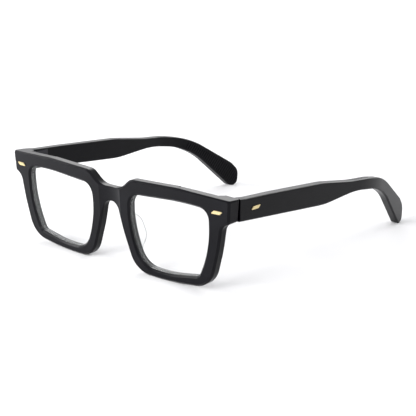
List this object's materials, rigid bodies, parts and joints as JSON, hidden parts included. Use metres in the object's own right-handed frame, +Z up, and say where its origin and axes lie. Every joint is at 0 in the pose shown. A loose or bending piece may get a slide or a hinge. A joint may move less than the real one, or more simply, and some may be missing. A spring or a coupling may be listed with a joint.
{
  "type": "eyeglasses frame",
  "caption": "Thick dark acetate spectacle frame with square rims, a low saddle bridge, clear nose pads and folding temples with wide tips.",
  "frame": {"origin": "on the surface that the frame stands on, under the middle of its bounding box", "axes": "+X to the wearer's left, +Y back along the open temples, +Z up"},
  "size_m": [0.1428, 0.1528, 0.0446],
  "materials": {
    "black_acetate": "satin black acetate",
    "clear_lens": "clear polished demonstration lens",
    "clear_acetate": "clear polished acetate",
    "gold_plate": "pale gold plate",
    "hinge_steel": "gunmetal plated nickel silver",
    "core_steel": "drawn wire"
  },
  "bodies": {
    "front": {"front": "black_acetate", "lens_left": "clear_lens", "lens_right": "clear_lens", "nose_pad_left": "clear_acetate", "nose_pad_right": "clear_acetate", "front_plaque_left": "gold_plate", "front_plaque_right": "gold_plate", "hinge_front_leaf_left": "hinge_steel", "hinge_front_leaf_right": "hinge_steel", "hinge_screw_left": "hinge_steel", "hinge_screw_right": "hinge_steel"},
    "temple_left": {"temple_left": "black_acetate", "temple_plaque_left": "gold_plate", "hinge_temple_leaf_left": "hinge_steel", "core_wire_left": "core_steel"},
    "temple_right": {"temple_right": "black_acetate", "temple_plaque_right": "gold_plate", "hinge_temple_leaf_right": "hinge_steel", "core_wire_right": "core_steel"}
  },
  "joints": [
    {"name": "temple_left_fold", "type": "hinge", "parent": "front", "child": "temple_left", "pos_m": [0.065, -0.06677, 0.03828], "axis": [0, 0, 1], "range_deg": [0, 87.5]},
    {"name": "temple_right_fold", "type": "hinge", "parent": "front", "child": "temple_right", "pos_m": [-0.065, -0.06677, 0.03828], "axis": [0, 0, -1], "range_deg": [0, 73]}
  ]
}
